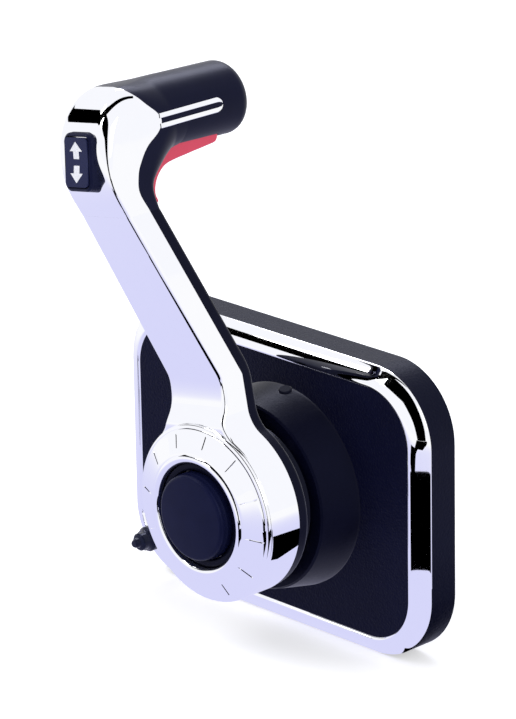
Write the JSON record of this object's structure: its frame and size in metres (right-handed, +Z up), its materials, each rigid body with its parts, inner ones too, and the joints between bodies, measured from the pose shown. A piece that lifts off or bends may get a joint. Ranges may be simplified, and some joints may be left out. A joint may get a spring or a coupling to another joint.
{
  "type": "boat throttle control lever",
  "caption": "Side-mount engine control: chrome lever with grip, trim rocker, neutral-lock trigger and throttle-only button on a framed panel.",
  "frame": {"origin": "centre of the four mounting holes, in the plane of the housing's back", "axes": "+X across the panel to the operator's right, +Z up, -Y out of the face towards the operator; the lever turns about a line along Y"},
  "size_m": [0.1994, 0.1218, 0.278],
  "materials": {
    "housing_black": "satin textured",
    "panel_black": "fine textured",
    "boss_black": "fine textured",
    "cover_black": "satin",
    "guide_black": "satin",
    "button_black": "satin gloss",
    "grip_black": "satin gloss",
    "rocker_black": "satin",
    "knob_black": "satin gloss",
    "rubber_black": "matt",
    "foam": "closed-cell foam",
    "trigger_red": "satin gloss",
    "lens": "clear satin",
    "chrome": "polished plating",
    "chrome_lever": "polished plating",
    "chrome_ring": "satin polished plating",
    "chrome_inlay": "polished plating",
    "steel": "machined",
    "bronze": "sintered",
    "cast_grey": "as cast",
    "magnet_grey": "nickel plated",
    "board_green": "solder mask"
  },
  "bodies": {
    "base": {"back_plate": "housing_black", "back_screws": "steel", "bearing_plate": "cast_grey", "bezel": "chrome", "boss_screws": "steel", "detent_pin": "steel", "face_panel": "panel_black", "front_bush": "bronze", "harness_grommet": "rubber_black", "housing": "housing_black", "hub_boss": "boss_black", "index_lens": "lens", "lock_ring": "steel", "lock_screws": "steel", "panel_screws": "steel", "rear_bush": "bronze", "rear_gasket": "foam", "sensor_board": "board_green", "stop_collar": "knob_black", "stop_nut": "steel"},
    "lever": {"output_shaft": "steel", "detent_wheel": "steel", "shaft_circlip": "steel", "sensor_magnet": "magnet_grey", "shaft_washer": "steel", "shaft_nut": "steel", "lever_shell": "chrome_lever", "lever_cover": "cover_black", "hub_screws": "steel", "cover_screws": "steel", "hub_ring": "chrome_ring", "button_guide": "guide_black", "button_boot": "rubber_black", "grip": "grip_black", "grip_inlay": "chrome_inlay", "rocker_frame": "rocker_black", "rocker_pin": "steel", "switch_body": "housing_black"},
    "button": {"throttle_button": "button_black"},
    "rocker": {"trim_rocker": "rocker_black"},
    "trigger": {"neutral_trigger": "trigger_red", "lock_rod": "steel"},
    "detent": {"detent_arm": "steel", "roller_pin": "steel", "detent_roller": "steel"},
    "stop": {"stop_knob": "knob_black"}
  },
  "joints": [
    {"name": "lever_swing", "type": "hinge", "parent": "base", "child": "lever", "pos_m": [0.0093, 0, 0], "axis": [0, 1, 0], "range_deg": [-60, 85]},
    {"name": "button_press", "type": "slide", "parent": "lever", "child": "button", "axis": [0, 1, 0], "range_m": [0, 0.004], "stiffness_N_per_m": 700, "springref_m": -0.004},
    {"name": "trim_tilt", "type": "hinge", "parent": "lever", "child": "rocker", "pos_m": [-0.02153, -0.11623, 0.17486], "axis": [0.9848, 0, 0.1736], "range_deg": [-5, 5], "stiffness_Nm_per_rad": 0.3},
    {"name": "trigger_squeeze", "type": "slide", "parent": "lever", "child": "trigger", "axis": [-0.1579, -0.4157, 0.8957], "range_m": [0, 0.005], "stiffness_N_per_m": 900, "springref_m": -0.004},
    {"name": "detent_lift", "type": "hinge", "parent": "base", "child": "detent", "pos_m": [0.0313, -0.0202, -0.0248], "axis": [0, -1, 0], "range_deg": [0, 7], "stiffness_Nm_per_rad": 2, "springref_deg": -11.46},
    {"name": "stop_press", "type": "slide", "parent": "base", "child": "stop", "axis": [0, 1, 0], "range_m": [0, 0.003], "stiffness_N_per_m": 500, "springref_m": -0.003}
  ]
}
